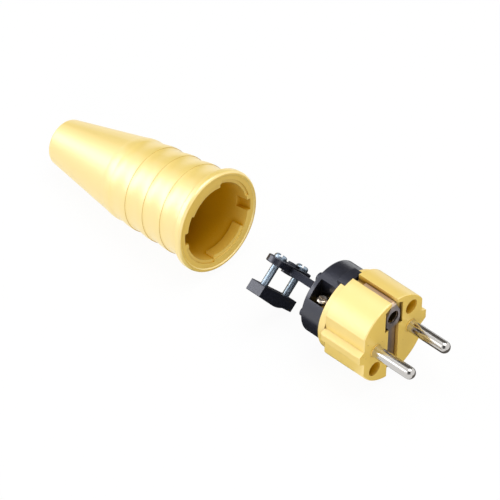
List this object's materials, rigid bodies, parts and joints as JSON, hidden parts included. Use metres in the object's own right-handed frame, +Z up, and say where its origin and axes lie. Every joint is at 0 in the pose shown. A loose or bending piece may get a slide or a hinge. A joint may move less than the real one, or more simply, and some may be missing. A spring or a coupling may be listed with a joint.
{
  "type": "rubber power plug",
  "caption": "Rewirable two-pole power plug opened for wiring: round pins in a yellow front body, black carrier with a cable clamp, and its tapered rubber boot behind it",
  "frame": {"origin": "midpoint between the two pins, on the engagement face", "axes": "+X along the insert's axis towards the pin tips, +Y along the line of the two pins, +Z up, from the pins to the earth hole"},
  "size_m": [0.1894, 0.0412, 0.0429],
  "materials": {
    "boot_rubber": "smooth satin rubber, pale warm yellow",
    "front_yellow": "satin moulding, pale warm yellow",
    "carrier_black": "smooth moulded black with a soft sheen",
    "pin_plating": "polished nickel plating",
    "earth_strip": "satin nickel-plated strip",
    "brass": "turned, left plain",
    "screw_zinc": "bright zinc plating"
  },
  "bodies": {
    "root": {"boot": "boot_rubber", "front_body": "front_yellow", "carrier": "carrier_black", "clamp_bar": "carrier_black", "pin_left": "pin_plating", "pin_right": "pin_plating", "earth_bridge": "earth_strip", "earth_socket": "brass", "assembly_screw_left": "screw_zinc", "assembly_screw_right": "screw_zinc", "clamp_screw_left": "screw_zinc", "clamp_screw_right": "screw_zinc", "earth_terminal_screw": "screw_zinc", "terminal_screw_left": "screw_zinc", "terminal_screw_right": "screw_zinc"}
  },
  "joints": []
}
